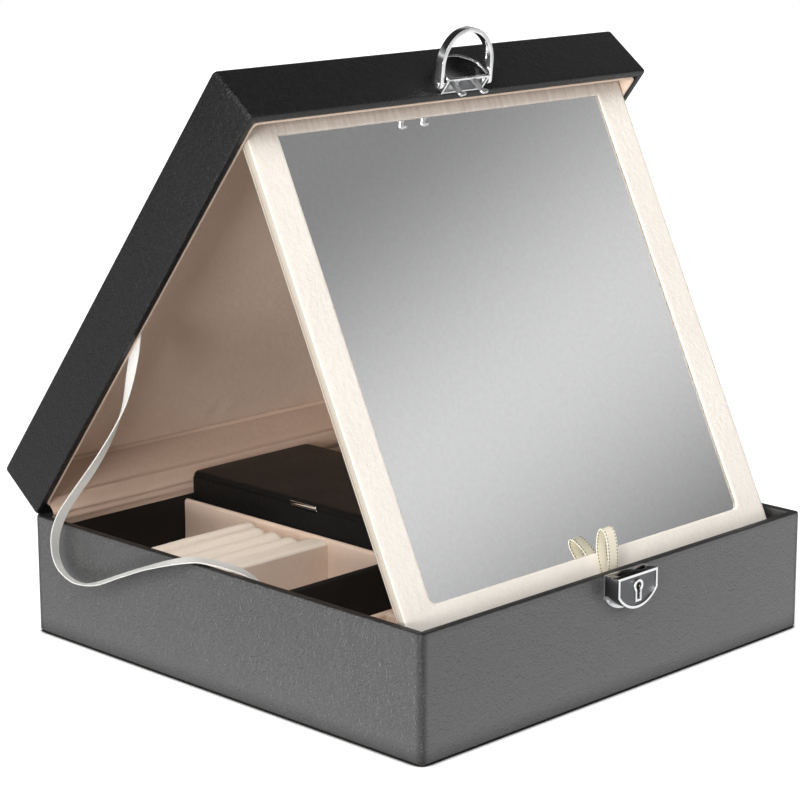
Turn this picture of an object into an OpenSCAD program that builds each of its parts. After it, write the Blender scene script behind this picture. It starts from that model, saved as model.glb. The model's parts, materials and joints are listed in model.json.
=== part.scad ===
// Vanity box with a fold-out mirror, standing open as an A-frame.
// Origin at the centre of the underside, front towards -Y, up towards +Z.

/* [Box] */
// Width of the box, left to right
box_w = 270; // [258:1:290]
// Depth of the box, front to back
box_d = 268; // [256:1:290]
// Height of the base up to its rim
base_h = 60; // [56:0.5:72]
// Height of the lid above its rim
lid_h = 30.5; // [27:0.5:40]
// Radius of the upright corners
corner_r = 2.5; // [2:0.5:5]
// Angle the lid stands open at
lid_open = 52.15; // [48:0.05:58]

/* [Walls] */
// Thickness of the board in walls, floor and lid
board = 3.1; // [2.4:0.1:3.6]
// Thickness of the leatherette
skin = 0.7; // [0.5:0.1:0.9]
// Depth that the leatherette turns down inside the rims
turn_in = 9; // [7:0.5:9.5]
// Thickness of the velvet-covered lining cards
lining = 1.2; // [0.8:0.1:1.6]
// Thickness of the velvet on the floor of the base
floor_pile = 1; // [0.6:0.1:1.6]
// Height of the black lining card's edge below the rim
liner_drop = 7; // [5:0.5:9]
// Thickness of the padded lining panel in the lid
lid_pad = 3.4; // [2.6:0.1:4.5]

/* [Compartments] */
// Thickness of the velvet-covered dividers
divider = 3.4; // [2.6:0.1:4.4]
// Depth of the dividers' tops below the rim
divider_drop = 9; // [8:0.5:14]
// Width of the left column
left_col_w = 86.7; // [76:0.1:92]
// Depth of the pocket at the back of the left column
back_pocket_d = 51; // [40:0.5:60]
// Depth of the pocket in front of the ring rolls
mid_pocket_d = 43; // [32:0.5:48]
// Depth of the long row behind the front compartments
row_d = 40.6; // [30:0.2:48]
// Depth of the mirror's rest and the front compartments' tops below the rim
rest_drop = 14; // [12:0.5:20]
// Width of the ledge that the mirror's foot stands on
rest_w = 12; // [11:0.5:16]
// Width of the cushion in the front left corner
cushion_w = 36; // [28:0.5:50]
// Height of the cushion's crown
crown = 1.4; // [0.6:0.1:2.2]

/* [Ring rolls] */
// Distance from one ring roll to the next
roll_pitch = 12.2; // [10:0.1:14]
// Number of full rolls
roll_count = 3; // [2:1:4]
// Width of a ring slit
slit_w = 1; // [0.6:0.1:1.6]
// Depth of the lip behind the rolls
back_lip = 6.6; // [5:0.1:9]
// Depth of the block in front of the rolls
front_lip = 12.4; // [9:0.1:16]

/* [Mirror] */
// Gap round the mirror panel when it lies in the lid
panel_gap = 0.7; // [0.4:0.1:2]
// Thickness of the frame at the front of the panel
frame_t = 3; // [2.6:0.1:3.4]
// Thickness of the board at the back of the panel
back_t = 1.5; // [1:0.1:2]
// Thickness of the mirror glass
glass_t = 1.8; // [1.4:0.1:2]
// Width of the frame at the sides and at the hinge
border = 19.5; // [14:0.5:28]
// Width of the frame at the foot
foot_border = 17; // [12:0.5:26]
// Radius of the window's two corners at the foot
window_r = 4; // [2:0.5:8]
// Depth of the rebate that holds the glass, past the window
rebate = 2; // [1.5:0.1:3.5]

/* [Travel case] */
// Width of the travel case
case_w = 83; // [74:0.5:86]
// Length of the travel case
case_l = 171; // [140:0.5:176]
// Height of the case above the rim
case_rise = 6; // [3:0.5:8]
// Thickness of the case's walls
case_wall = 2.4; // [1.8:0.1:3]
// Thickness of the case's cover
cover_t = 2.8; // [2.2:0.1:3.6]
// Length of the clasp on the cover's edge
clasp_l = 18.6; // [14:0.2:26]

/* [Lock and hasp] */
// Distance of the lock and of the hasp from the middle, to the right
lock_x = -1.8; // [-6:0.1:6]
// Width of the lock and of the hasp
dee_w = 28; // [24:0.5:32]
// Height of the lock and of the hasp
dee_h = 16.5; // [15:0.5:20]
// Height of their straight sides
dee_side = 9.3; // [8:0.1:11]
// How far they stand off the walls
dee_out = 9; // [8:0.2:11]
// Thickness of the metal sheet of the lock and of the hasp
sheet_t = 1.2; // [0.9:0.1:1.4]
// Thickness of their back plates
plate_t = 0.8; // [0.6:0.1:1.2]
// Distance from the middle to each hook
hook_x = 7.5; // [6:0.1:8.5]
// Length of the hooks below the hasp
hook_l = 6.5; // [5:0.1:7]
// Width of a hook's shank
hook_w = 2.4; // [1.8:0.1:2.6]
// Thickness of a hook
hook_t = 1.2; // [0.9:0.1:1.4]
// Travel of the bolt
bolt_travel = 2.2; // [1.5:0.1:2.4]
// Outer radius of the pull ring's bow
ring_r = 17.5; // [16.6:0.1:19]
// Length of the ring's straight legs
ring_leg = 8.5; // [7:0.5:14]
// Thickness of the ring's band
ring_t = 2.2; // [1.6:0.1:2.4]
// Width of the ring's band
ring_band = 4; // [3:0.1:4.4]
// Angle that the ring stands out from the lid
ring_out = 59; // [20:1:110]
// Radius of the ring's pins
pin_r = 0.8; // [0.6:0.05:1]

/* [Ribbon] */
// Width of the ribbon
ribbon_w = 7; // [5:0.5:8]
// Thickness of the ribbon
ribbon_t = 0.5; // [0.4:0.05:0.8]

/* [Hidden] */
$fn = 48;

// Running clearance between pieces that move
clear = 0.3;
// Gap between pieces that are only laid or glued in
seat = 0.1;
tiny = 0.01;

wall = skin + board + skin;
bottom_sheet = skin;
floor_top = bottom_sheet + board;
well_z = floor_top + floor_pile;
in_x = box_w / 2 - wall - seat - lining;
in_y = box_d / 2 - wall - seat - lining;
divider_top = base_h - divider_drop;
rest_top = base_h - rest_drop;

// Left column, from the back wall to the front
left_div_x = -in_x + left_col_w;
ring_back = in_y - back_pocket_d;
ring_d = back_lip + roll_count * roll_pitch + front_lip + slit_w;
ring_front = ring_back - ring_d;
part_back = ring_front - mid_pocket_d;
row_back = part_back - divider;
front_wall_back = row_back - row_d;
roll_r = (roll_pitch - slit_w) / 2;

// Middle column holds the travel case
case_gap = 0.4;
case_x0 = left_div_x + divider + case_gap;
case_x1 = case_x0 + case_w;
case_y1 = in_y - 2 * case_gap;
case_y0 = case_y1 - case_l;
case_z0 = well_z + seat;
case_top = base_h + case_rise;
cover_z0 = case_top - cover_t;
right_div_x = case_x1 + case_gap;
clasp_y = (case_y0 + case_y1) / 2;
case_roll_r = 0.8;
case_roll_x = case_x1 - case_roll_r / 2;
case_roll_z = cover_z0 - 1.5 * case_roll_r;

// Lid, in its own frame: the hinge line is the X axis, the rim lies at height 0
// and the front wall at -box_d
lid_pad_z = lid_h - skin - board - lid_pad;
lid_in_front = box_d - wall - seat - lining;
lid_in_back = wall + seat + lining;
lining_r = 4;

// Mirror panel, in its own frame: the hinge at its origin, the foot at +panel_l
panel_t = frame_t + back_t;
bead_r = 0.7;
pivot_y = lid_in_front - bead_r;
pivot_z = lid_pad_z - clear - panel_t;
panel_w = 2 * (in_x - panel_gap);
panel_l = pivot_y - lid_in_back - panel_gap;
window_w = panel_w - 2 * border;
window_l = panel_l - border - foot_border;
lip_t = frame_t - glass_t;

// The panel's foot stands on the rest, which sets the angle at the panel's hinge
pivot_height = base_h + pivot_y * sin(lid_open) + pivot_z * cos(lid_open);
panel_slope = asin((pivot_height - rest_top - seat) / norm([panel_l, panel_t]))
    - atan2(panel_t, panel_l);
panel_swing = 180 - lid_open - panel_slope;

// Lock and hasp
dee_arc = dee_h - dee_side;
dee_arc_r = (pow(dee_w / 2, 2) + pow(dee_arc, 2)) / (2 * dee_arc);
hook_depth = dee_out / 2;
hook_slot_w = hook_w + 2.2;
hook_slot_t = hook_t + 1.2;
rivet_r = 1.2;
lock_rivet_x = 9;
lock_rivet_drop = 12.5;
keyhole_z = base_h - 5.9;
keyhole_r = 1.9;
keyhole_slot = 2.2;
keyhole_l = 6.2;
face_recess = 0.6;
// How far the lock's back plate shows below its case
plate_reach = 1.6;
lock_rivet_z = base_h - lock_rivet_drop;
hasp_rivet_x = 7;
hasp_rivet_z = turn_in + 2.2;
bolt_l = 2 * hook_x + hook_slot_w;
bolt_h = 4.6;
bolt_z = base_h - 7.6;
chamber_z0 = base_h - 9.6;
ring_pivot_z = 2;
cap_recess = 0.45;
spine_h = 20;
spine_t = 0.6;
fold_r = 0.8;

// Ribbon stay from the lid's left wall over the base's rim and into the base.
// A point is its distance inwards from the left wall's outer face, its distance in
// front of the hinge line and its height above the rim, followed by the direction
// that the ribbon's width lies in.
stay_route = [
    [[6.4, 75.5, 111], [0, 1, 0]],
    [[6.4, 75, 103.8], [0, 1, 0.1]],
    [[6.3, 74.1, 97.5], [0.05, 1, 0.15]],
    [[6.2, 73.2, 91.9], [0.1, 0.97, 0.22]],
    [[5.6, 70.4, 80.2], [0.21, 0.95, 0.23]],
    [[4.6, 67, 67.7], [0.53, 0.81, 0.25]],
    [[3.3, 61.1, 54.6], [0.86, 0.48, 0.16]],
    [[1.6, 53, 41.3], [0.97, 0.26, 0.02]],
    [[-0.7, 44.6, 29.1], [0.98, 0.15, -0.1]],
    [[-3.3, 36.2, 17.8], [0.99, 0.13, -0.1]],
    [[-5.1, 28.3, 6.6], [0.99, 0.1, -0.06]],
    [[-5.8, 23.9, -3.5], [0.98, 0.2, 0.01]],
    [[-6, 23.2, -12.5], [0.92, 0.4, -0.06]],
    [[-6, 25.2, -18.3], [0.88, 0.38, -0.25]],
    [[-6, 29.3, -22.3], [0.87, 0.25, -0.4]],
    [[-6, 35.6, -24.6], [0.9, 0.1, -0.38]],
    [[-6, 44, -24.9], [0.97, 0.04, -0.2]],
    [[-5.8, 58.1, -21.1], [0.97, 0.11, 0.18]],
    [[-5.3, 74.7, -13.9], [0.97, 0.13, 0.2]],
    [[-4.6, 90.8, -7.2], [0.98, 0.1, 0.17]],
    [[-4.4, 103.7, -2.4], [0.96, 0.14, 0.22]],
    [[-3.4, 113.5, 0.8], [0.93, 0.29, 0.2]],
    [[-0.8, 118.6, 1.8], [0.88, 0.45, 0.12]],
    [[2, 123.1, 1.9], [0.9, 0.44, 0.02]],
    [[5.7, 131.9, 1.3], [0.96, 0.28, 0]],
    [[7.7, 142.4, 0.2], [0.98, 0.17, -0.12]],
    [[8.4, 149.5, -1.3], [0.94, 0.12, -0.32]],
    [[8.2, 155.1, -3.2], [0.86, 0.25, -0.44]],
    [[7.5, 160, -6.8], [0.5, 0.75, -0.4]],
    [[6.8, 163.7, -11], [0.15, 0.97, -0.25]],
    [[6.3, 165, -17], [0, 1, 0]]
];
stay_tab_y = 136;
stay_tab_z = 9.6;
stay_tab_l = 12;
loop_x = 2.4;

// Pull loop at the mirror's foot: distance from the foot and height off the face
loop_route = [
    [1, 0.4], [4.4, 0.6], [8.8, 0.95], [13.5, 1.5], [18.3, 2.8], [22.6, 4.9],
    [25.7, 7.3], [26.5, 9.2], [24.8, 10.6], [20.8, 10.5], [15.6, 9.1], [10.4, 6.9],
    [6, 4.5], [3, 2.5], [0.6, 1.4]
];

// A rectangle with round corners, in the middle of the sheet
module round_rect(w, d, r) {
    square([w - 2 * r, d], center = true);
    square([w, d - 2 * r], center = true);
    for (x = [-1, 1], y = [-1, 1])
        translate([x * (w / 2 - r), y * (d / 2 - r)]) circle(r);
}

// A prism on a rectangle with round corners, from z0 to z1
module block(w, d, r, z0, z1) {
    translate([0, 0, z0]) linear_extrude(z1 - z0) round_rect(w, d, r);
}

// A rectangular pipe with round corners: w by d outside, t thick
module pipe(w, d, r, t, z0, z1) {
    translate([0, 0, z0]) linear_extrude(z1 - z0) difference() {
        round_rect(w, d, r);
        round_rect(w - 2 * t, d - 2 * t, max(r - t, 0.4));
    }
}

// A box between two corners
module span(a, b) {
    translate(a) cube(b - a);
}

// The D outline of the lock and the hasp: flat side on the X axis, bow towards +Y
module dee(w, h, arc_r) {
    intersection() {
        translate([-w / 2, 0]) square([w, h]);
        translate([0, h - arc_r]) circle(arc_r, $fn = 96);
    }
}

// Stands a sheet drawn in X and Y upright: its Y becomes height, its thickness
// grows towards the front
module upright(t) {
    rotate([90, 0, 0]) linear_extrude(t) children();
}

// A divider along Y at x, and one along X at y, each with a round top edge
module divider_y(x, y0, y1, top) {
    translate([x, y1, well_z]) upright(y1 - y0) divider_profile(top - well_z);
}

module divider_x(y, x0, x1, top) {
    translate([x0, y, well_z]) rotate([90, 0, 90])
        linear_extrude(x1 - x0) divider_profile(top - well_z);
}

module divider_profile(h) {
    square([divider, h - divider / 2]);
    translate([divider / 2, h - divider / 2]) circle(divider / 2);
}

module in_lid() {
    translate([0, box_d / 2, base_h]) rotate([-lid_open, 0, 0]) children();
}

// The hasp's place on the lid's front wall
module on_lid_front() {
    in_lid() translate([lock_x, -box_d, 0]) children();
}

// The lid turned with its hinge line at the back of a block centred on Y
module lid_centre() {
    translate([0, -box_d / 2, 0]) children();
}

module in_panel() {
    in_lid() translate([0, -pivot_y, pivot_z]) rotate([-panel_swing, 0, 0]) children();
}

// Smooth curve through a list of points
function curve_point(a, b, c, d, t) =
    0.5 * (2 * b + (c - a) * t + (2 * a - 5 * b + 4 * c - d) * t * t
        + (3 * b - a - 3 * c + d) * t * t * t);
function smooth(p, n) = let (last = len(p) - 1) [
    for (i = [0 : last - 1], k = [0 : n - 1])
        curve_point(p[max(i - 1, 0)], p[i], p[i + 1], p[min(i + 2, last)], k / n),
    p[last]
];
function unit(v) = v / norm(v);
function tangent(p, i) = unit(p[min(i + 1, len(p) - 1)] - p[max(i - 1, 0)]);
function across(w, t) = unit(w - (w * t) * t);

// A flat strap along points p with its width along the directions w
module strap(p, w, width, t) {
    rings = [
        for (i = [0 : len(p) - 1])
            let (along = tangent(p, i), side = across(w[i], along) * width / 2,
                up = cross(along, side) / (width / 2) * t / 2)
            each [p[i] - side - up, p[i] + side - up, p[i] + side + up, p[i] - side + up]
    ];
    last = 4 * (len(p) - 1);
    polyhedron(rings, concat(
        [[0, 1, 2], [0, 2, 3], [last + 2, last + 1, last], [last + 3, last + 2, last]],
        [for (i = [0 : len(p) - 2], k = [0 : 3])
            [4 * i + k, 4 * i + 4 + k, 4 * i + (k + 1) % 4]],
        [for (i = [0 : len(p) - 2], k = [0 : 3])
            [4 * i + (k + 1) % 4, 4 * i + 4 + k, 4 * i + 4 + (k + 1) % 4]]
    ));
}

// Base

module base_carcass() color("#b08d5f") difference() {
    block(box_w - 2 * skin, box_d - 2 * skin, corner_r - skin, bottom_sheet, base_h - skin);
    block(box_w - 2 * skin - 2 * board, box_d - 2 * skin - 2 * board, 0.6,
        floor_top, base_h);
    lock_rivet_bores();
}

module base_leather() color("#2e2e30") difference() {
    union() {
        pipe(box_w, box_d, corner_r, skin, bottom_sheet, base_h);
        pipe(box_w - 2 * tiny, box_d - 2 * tiny, corner_r - tiny, wall - 2 * tiny,
            base_h - skin, base_h - tiny);
        pipe(box_w - 2 * skin - 2 * board, box_d - 2 * skin - 2 * board, 0.6,
            skin, base_h - turn_in, base_h - skin / 2);
    }
    lock_rivet_bores();
    translate([0, box_d / 2, base_h]) rotate([0, 90, 0])
        cylinder(r = fold_r, h = box_w + 2, center = true);
}

module base_bottom_sheet() color("#1c1c1d")
    block(box_w - 2 * skin, box_d - 2 * skin, corner_r - skin, 0, bottom_sheet);

module base_liner() color("#1b1a1a") difference() {
    pipe(2 * (in_x + lining), 2 * (in_y + lining), 0.8, lining, floor_top,
        base_h - liner_drop);
    span([-in_x, in_y - 1, base_h - liner_drop - 2], [in_x, in_y - 0.5, base_h]);
}

module floor_lining() color("#e9d8cc")
    block(2 * in_x - seat, 2 * in_y - seat, 0.5, floor_top, well_z);

// The velvet strip inside the back wall that covers the joint with the lid
module hinge_cloth() color("#e2cfc2")
    span([-in_x, in_y, base_h - liner_drop], [in_x, in_y + lining, base_h - 0.4]);

// The leatherette folded over the joint behind, with its fold on the hinge line
module hinge_spine() color("#2a2a2c") {
    span([-box_w / 2 + corner_r, box_d / 2, base_h - spine_h],
        [box_w / 2 - corner_r, box_d / 2 + spine_t, base_h]);
    translate([0, box_d / 2, base_h]) rotate([0, 90, 0])
        cylinder(r = fold_r, h = box_w - 2 * corner_r, center = true);
}

module long_divider(x) {
    divider_y(x, front_wall_back, in_y, divider_top);
}

module long_divider_left() color("#efe0d4") long_divider(left_div_x);

module long_divider_right() color("#efe0d4") long_divider(right_div_x);

// Ring rolls lying left to right between a lip behind and a block in front
module ring_roll_block() color("#f0e2d6") {
    x0 = -in_x;
    x1 = left_div_x;
    top = divider_top - 1;
    core = top - roll_pitch;
    span([x0, ring_front, well_z], [x1, ring_back, core]);
    lip(x0, x1, ring_back - back_lip, ring_back, core - tiny, top);
    lip(x0, x1, ring_front, ring_front + front_lip, core - tiny, top);
    for (i = [0 : roll_count - 1])
        translate([0, ring_back - back_lip - slit_w - roll_r - i * roll_pitch, top - roll_r])
            roll(x0 + 0.5, x1 - 2.5, core - top + roll_r);
}

// A lip with its two long top edges rounded
module lip(x0, x1, y0, y1, z0, z1) {
    r = 2;
    translate([x0, 0, 0]) rotate([90, 0, 90]) linear_extrude(x1 - x0) {
        translate([y0, z0]) square([y1 - y0, z1 - z0 - r]);
        translate([y0 + r, z0]) square([y1 - y0 - 2 * r, z1 - z0]);
        for (y = [y0 + r, y1 - r]) translate([y, z1 - r]) circle(r);
    }
}

// One roll along X with a ball end, standing on the core below it
module roll(x0, x1, foot) {
    translate([x0 + roll_r, 0, 0]) rotate([0, 90, 0])
        cylinder(r = roll_r, h = x1 - x0 - 2 * roll_r);
    for (x = [x0 + roll_r, x1 - roll_r]) translate([x, 0, 0]) sphere(roll_r);
    span([x0 + roll_r, -roll_r, foot - tiny], [x1 - roll_r, roll_r, 0]);
}

module black_partition() color("#1b1a1a")
    divider_x(row_back, -in_x, left_div_x, divider_top - 1);

module right_partitions() color("#efe0d4") {
    for (y = [ring_back - divider, ring_front])
        divider_x(y, right_div_x + divider, in_x, divider_top - 1);
    divider_x(row_back, right_div_x + divider, in_x, divider_top - 1);
}

module front_cross_wall() color("#efe0d4")
    divider_x(front_wall_back - divider, -in_x, in_x, rest_top - 0.4);

front_y0 = -in_y + rest_w;
front_y1 = front_wall_back - divider;
cushion_x1 = -in_x + cushion_w;

module front_dividers() color("#efe0d4") {
    for (x = [cushion_x1 + 1, left_div_x + divider * 6, right_div_x])
        divider_y(x, front_y0, front_y1, rest_top - 0.4);
}

// The cushion in the front left corner, crowned and drawn in below its top edge
module front_cushion() color("#f0e2d6") {
    x0 = -in_x + seat;
    x1 = cushion_x1;
    y0 = front_y0 + seat;
    y1 = front_y1 - seat;
    edge = rest_top - 0.5 - crown;
    n = 10;
    layers = [
        [0.8, well_z], [1.4, (well_z + edge) / 2], [0.5, edge - 4], [0, edge - 2],
        [0.6, edge - 0.5], [2.4, edge]
    ];
    ring_n = 4 * n;
    pts = [
        for (l = layers, i = [0 : ring_n - 1])
            let (c = loop_xy(i / ring_n, x0 + l[0], x1 - l[0], y0 + l[0], y1 - l[0], 4))
            [c[0], c[1], l[1]]
    ];
    crown_pts = [
        for (f = [0.8, 0.55, 0.28], i = [0 : ring_n - 1])
            let (c = loop_xy(i / ring_n, x0 + 2.4, x1 - 2.4, y0 + 2.4, y1 - 2.4, 4),
                mid = [(x0 + x1) / 2, (y0 + y1) / 2])
            [mid[0] + (c[0] - mid[0]) * f, mid[1] + (c[1] - mid[1]) * f,
                edge + crown * (1 - f * f)]
    ];
    all_pts = concat(pts, crown_pts,
        [[(x0 + x1) / 2, (y0 + y1) / 2, edge + crown], [(x0 + x1) / 2, (y0 + y1) / 2, well_z]]);
    rows = len(layers) + 3;
    top = rows * ring_n;
    polyhedron(all_pts, concat(
        [for (r = [0 : rows - 2], i = [0 : ring_n - 1])
            [r * ring_n + i, (r + 1) * ring_n + i, r * ring_n + (i + 1) % ring_n]],
        [for (r = [0 : rows - 2], i = [0 : ring_n - 1])
            [r * ring_n + (i + 1) % ring_n, (r + 1) * ring_n + i,
                (r + 1) * ring_n + (i + 1) % ring_n]],
        [for (i = [0 : ring_n - 1]) [top - ring_n + i, top, top - ring_n + (i + 1) % ring_n]],
        [for (i = [0 : ring_n - 1]) [(i + 1) % ring_n, top + 1, i]]
    ));
}

// A point on a rectangle with round corners, at a share u of the way round
function loop_xy(u, x0, x1, y0, y1, r) =
    let (q = floor(u * 4), t = (u * 4 - q) * 90, s = q % 4,
        cx = (s == 0 || s == 3) ? x1 - r : x0 + r,
        cy = (s < 2) ? y1 - r : y0 + r)
    [cx + r * cos(s * 90 + t), cy + r * sin(s * 90 + t)];

// The velvet-covered ledge behind the front wall
module mirror_rest() color("#efe0d4")
    lip(-in_x + seat, in_x - seat, -in_y + seat, front_y0, well_z, rest_top);

module stay_ribbon() color("#f3efe2") {
    p = smooth([
        for (s = stay_route) [s[0][0] - box_w / 2, box_d / 2 - s[0][1], base_h + s[0][2]]
    ], 2);
    w = smooth([for (s = stay_route) s[1]], 2);
    strap(p, w, ribbon_w, ribbon_t);
}

// Lock, on the front wall of the base

module on_front() {
    translate([lock_x, -box_d / 2, 0]) children();
}

// The lock's two rivet bores through the front wall
module lock_rivet_bores() {
    on_front() for (x = [-1, 1]) translate([x * lock_rivet_x, -1, lock_rivet_z])
        rotate([-90, 0, 0]) cylinder(r = rivet_r, h = wall + 2);
}

module lock_outline(inset) {
    translate([0, base_h]) mirror([0, 1]) offset_dee(inset);
}

// The D outline drawn in by an amount on its sides and its bow
module offset_dee(inset) {
    intersection() {
        translate([-dee_w / 2 + inset, inset]) square([dee_w - 2 * inset, dee_h - 2 * inset]);
        translate([0, dee_h - dee_arc_r]) circle(dee_arc_r - inset, $fn = 96);
    }
}

module lock_backplate() color("#c9ccd0") on_front() difference() {
    upright(plate_t) translate([0, base_h]) mirror([0, 1])
        dee(dee_w - 0.8, dee_h + plate_reach, dee_arc_r);
    for (x = [-1, 1]) translate([x * lock_rivet_x, 1, lock_rivet_z]) rotate([90, 0, 0])
        cylinder(r = rivet_r, h = plate_t + 2);
}

module lock_case() color("#d9dce0") on_front() difference() {
    translate([0, -plate_t, 0]) upright(dee_out - plate_t) lock_outline(0);
    // Recess for the face plate inside the raised edge
    translate([0, -dee_out + face_recess, 0]) upright(2) lock_outline(sheet_t);
    // Chamber of the bolt
    span([-dee_w / 2 + sheet_t, -dee_out + sheet_t + face_recess, chamber_z0],
        [dee_w / 2 - sheet_t, -plate_t - 1, base_h - sheet_t]);
    // Slots in the top for the hooks
    for (x = [-1, 1]) translate([x * hook_x, -hook_depth, base_h - 3])
        span([-hook_slot_w / 2, -hook_slot_t / 2, 0], [hook_slot_w / 2, hook_slot_t / 2, 4]);
    // Keyhole through to the chamber
    translate([0, -dee_out + 3, keyhole_z]) keyhole(4);
    // Rivet heads
    for (x = [-1, 1]) translate([x * lock_rivet_x, -plate_t + tiny, lock_rivet_z])
        rotate([90, 0, 0]) cylinder(r = 2 * rivet_r, h = 1);
}

// A keyhole along Y: a round above a slot
module keyhole(depth) {
    upright(depth) {
        circle(keyhole_r);
        translate([-keyhole_slot / 2, -keyhole_l]) square([keyhole_slot, keyhole_l]);
    }
}

module lock_face() color("#6d7075") on_front() difference() {
    translate([0, -dee_out + face_recess, 0]) upright(0.35) lock_outline(sheet_t + 0.05);
    translate([0, -dee_out + 2, keyhole_z]) keyhole(4);
}

module keyhole_escutcheon() color("#e4e6e9") on_front() difference() {
    translate([0, -dee_out + face_recess - 0.35, keyhole_z]) upright(0.65) {
        circle(keyhole_r + 1.3);
        translate([-keyhole_slot / 2 - 1, -keyhole_l - 1.2])
            square([keyhole_slot + 2, keyhole_l + 1.2]);
    }
    translate([0, -dee_out + 2, keyhole_z]) keyhole(4);
}

module lock_rivets() color("#b9bcc0") on_front()
    for (x = [-1, 1]) translate([x * lock_rivet_x, 0, lock_rivet_z])
        rotate([-90, 0, 0]) {
            translate([0, 0, -plate_t - 0.8]) cylinder(r = 2 * rivet_r - 0.2, h = 0.8);
            translate([0, 0, -plate_t]) cylinder(r = rivet_r, h = plate_t + skin + board);
            translate([0, 0, skin + board]) cylinder(r = 2 * rivet_r - 0.4, h = 0.5);
        }

// The sliding bolt, with a notch beside each hook
module lock_bolt() color("#b58a3c") on_front() difference() {
    span([-bolt_l / 2, -hook_depth - 1.8, bolt_z], [bolt_l / 2, -hook_depth + 1.8, bolt_z + bolt_h]);
    for (x = [-1, 1]) translate([x * hook_x - bolt_travel / 2 + 1.1, -hook_depth, bolt_z - 1])
        span([-hook_slot_w / 2, -hook_slot_t / 2, 0], [hook_slot_w / 2 - 0.6, hook_slot_t / 2, 8]);
}

// Lid

module lid_carcass() color("#b08d5f") in_lid() difference() {
    lid_centre() difference() {
        block(box_w - 2 * skin, box_d - 2 * skin, corner_r - skin, skin, lid_h - skin);
        block(box_w - 2 * skin - 2 * board, box_d - 2 * skin - 2 * board, 0.6,
            0, lid_h - skin - board);
    }
    hasp_rivet_bores();
    fold_groove();
}

// Clears the fold of the hinge along the lid's back edge
module fold_groove() {
    rotate([0, 90, 0]) cylinder(r = fold_r + clear, h = box_w + 2, center = true);
}

module hasp_rivet_bores() {
    for (x = [-1, 1]) translate([lock_x + x * hasp_rivet_x, -box_d - 1, hasp_rivet_z])
        rotate([-90, 0, 0]) cylinder(r = rivet_r, h = wall + 2);
}

module lid_leather() color("#2b2b2d") in_lid() difference() {
    lid_centre() {
        pipe(box_w, box_d, corner_r, skin, 0, lid_h);
        block(box_w - 2 * tiny, box_d - 2 * tiny, corner_r - tiny, lid_h - skin, lid_h - tiny);
        pipe(box_w - 2 * tiny, box_d - 2 * tiny, corner_r - tiny, wall - 2 * tiny, tiny, skin);
        pipe(box_w - 2 * skin - 2 * board, box_d - 2 * skin - 2 * board, 0.6,
            skin, skin / 2, turn_in);
    }
    hasp_rivet_bores();
    fold_groove();
}

module lid_wall_lining() color("#e6d5c8") in_lid() difference() {
    lid_centre() pipe(box_w - 2 * wall - 2 * seat, box_d - 2 * wall - 2 * seat,
        lining_r, lining, 0.4, lid_pad_z + lid_pad - seat);
    fold_groove();
}

module lid_lining_panel() color("#eadbcf") in_lid() difference() {
    lid_centre() block(2 * in_x - seat, box_d - 2 * (wall + 2 * seat + lining),
        lining_r - 0.8, lid_pad_z, lid_pad_z + lid_pad);
    translate([0, -magnet_y, lid_pad_z + 0.6]) cylinder(r = magnet_r + seat / 2, h = lid_pad);
}

magnet_y = 24;
magnet_r = 6;
magnet_t = 1.5;

module lid_magnet() color("#8f9296") in_lid()
    translate([0, -magnet_y, lid_pad_z + 0.6]) cylinder(r = magnet_r, h = magnet_t);

module lid_spine() color("#2a2a2c") in_lid()
    span([-box_w / 2 + corner_r, 0, fold_r + 2 * clear],
        [box_w / 2 - corner_r, spine_t, spine_h]);

// The velvet rolled over along the top of the mirror panel, where it folds
module mirror_hinge_cloth() color("#e6d5c8") in_lid()
    translate([0, -pivot_y, pivot_z]) rotate([0, 90, 0])
        cylinder(r = bead_r, h = panel_w - 6, center = true);

module hasp_cap() color("#cfd2d6") on_lid_front() difference() {
    upright(dee_out) dee(dee_w, dee_h, dee_arc_r);
    // Shallow recess of the face inside the raised edge
    translate([0, -dee_out + cap_recess, 0]) upright(2) offset_dee(sheet_t);
    translate([0, 0.5, -1]) upright(dee_out - sheet_t + 0.5) translate([0, -sheet_t])
        offset_dee_open();
    // Holes of the ring's pins
    translate([0, -hook_depth, ring_pivot_z]) rotate([0, 90, 0])
        cylinder(r = pin_r, h = dee_w + 2, center = true);
}

// The hollow of the hasp, open at its flat side
module offset_dee_open() {
    translate([0, 1 + sheet_t]) intersection() {
        translate([-dee_w / 2 + sheet_t, -3]) square([dee_w - 2 * sheet_t, dee_h + 3 - sheet_t]);
        translate([0, dee_h - dee_arc_r]) circle(dee_arc_r - sheet_t, $fn = 96);
    }
}

module hasp_backplate() color("#c3c6ca") on_lid_front() difference() {
    upright(plate_t) translate([0, 0.3]) dee(dee_w - 2 * sheet_t - 0.2, dee_h - sheet_t - 0.5,
        dee_arc_r - sheet_t - 0.1);
    for (x = [-1, 1]) translate([x * hasp_rivet_x, 1, hasp_rivet_z]) rotate([90, 0, 0])
        cylinder(r = rivet_r, h = plate_t + 2);
}

module hasp_rivets() color("#b9bcc0") on_lid_front()
    for (x = [-1, 1]) translate([x * hasp_rivet_x, 0, hasp_rivet_z])
        rotate([-90, 0, 0]) {
            translate([0, 0, -plate_t - 0.6]) cylinder(r = rivet_r + 0.4, h = 0.6);
            translate([0, 0, -plate_t]) cylinder(r = rivet_r, h = plate_t + skin + board);
            translate([0, 0, skin + board]) cylinder(r = 2 * rivet_r - 0.4, h = 0.5);
        }

// Two hooks on one carrier, standing on the back plate inside the cap
module hasp_hooks() color("#d5d8dc") on_lid_front() {
    span([-hook_x - hook_w / 2, -hook_depth - hook_t / 2, 5.5],
        [hook_x + hook_w / 2, -hook_depth + hook_t / 2, 8.5]);
    span([-3, -hook_depth, 5.6], [3, -plate_t, 8.4]);
    for (x = [-1, 1]) translate([x * hook_x, -hook_depth + hook_t / 2, 0])
        upright(hook_t) hook_profile();
}

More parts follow.
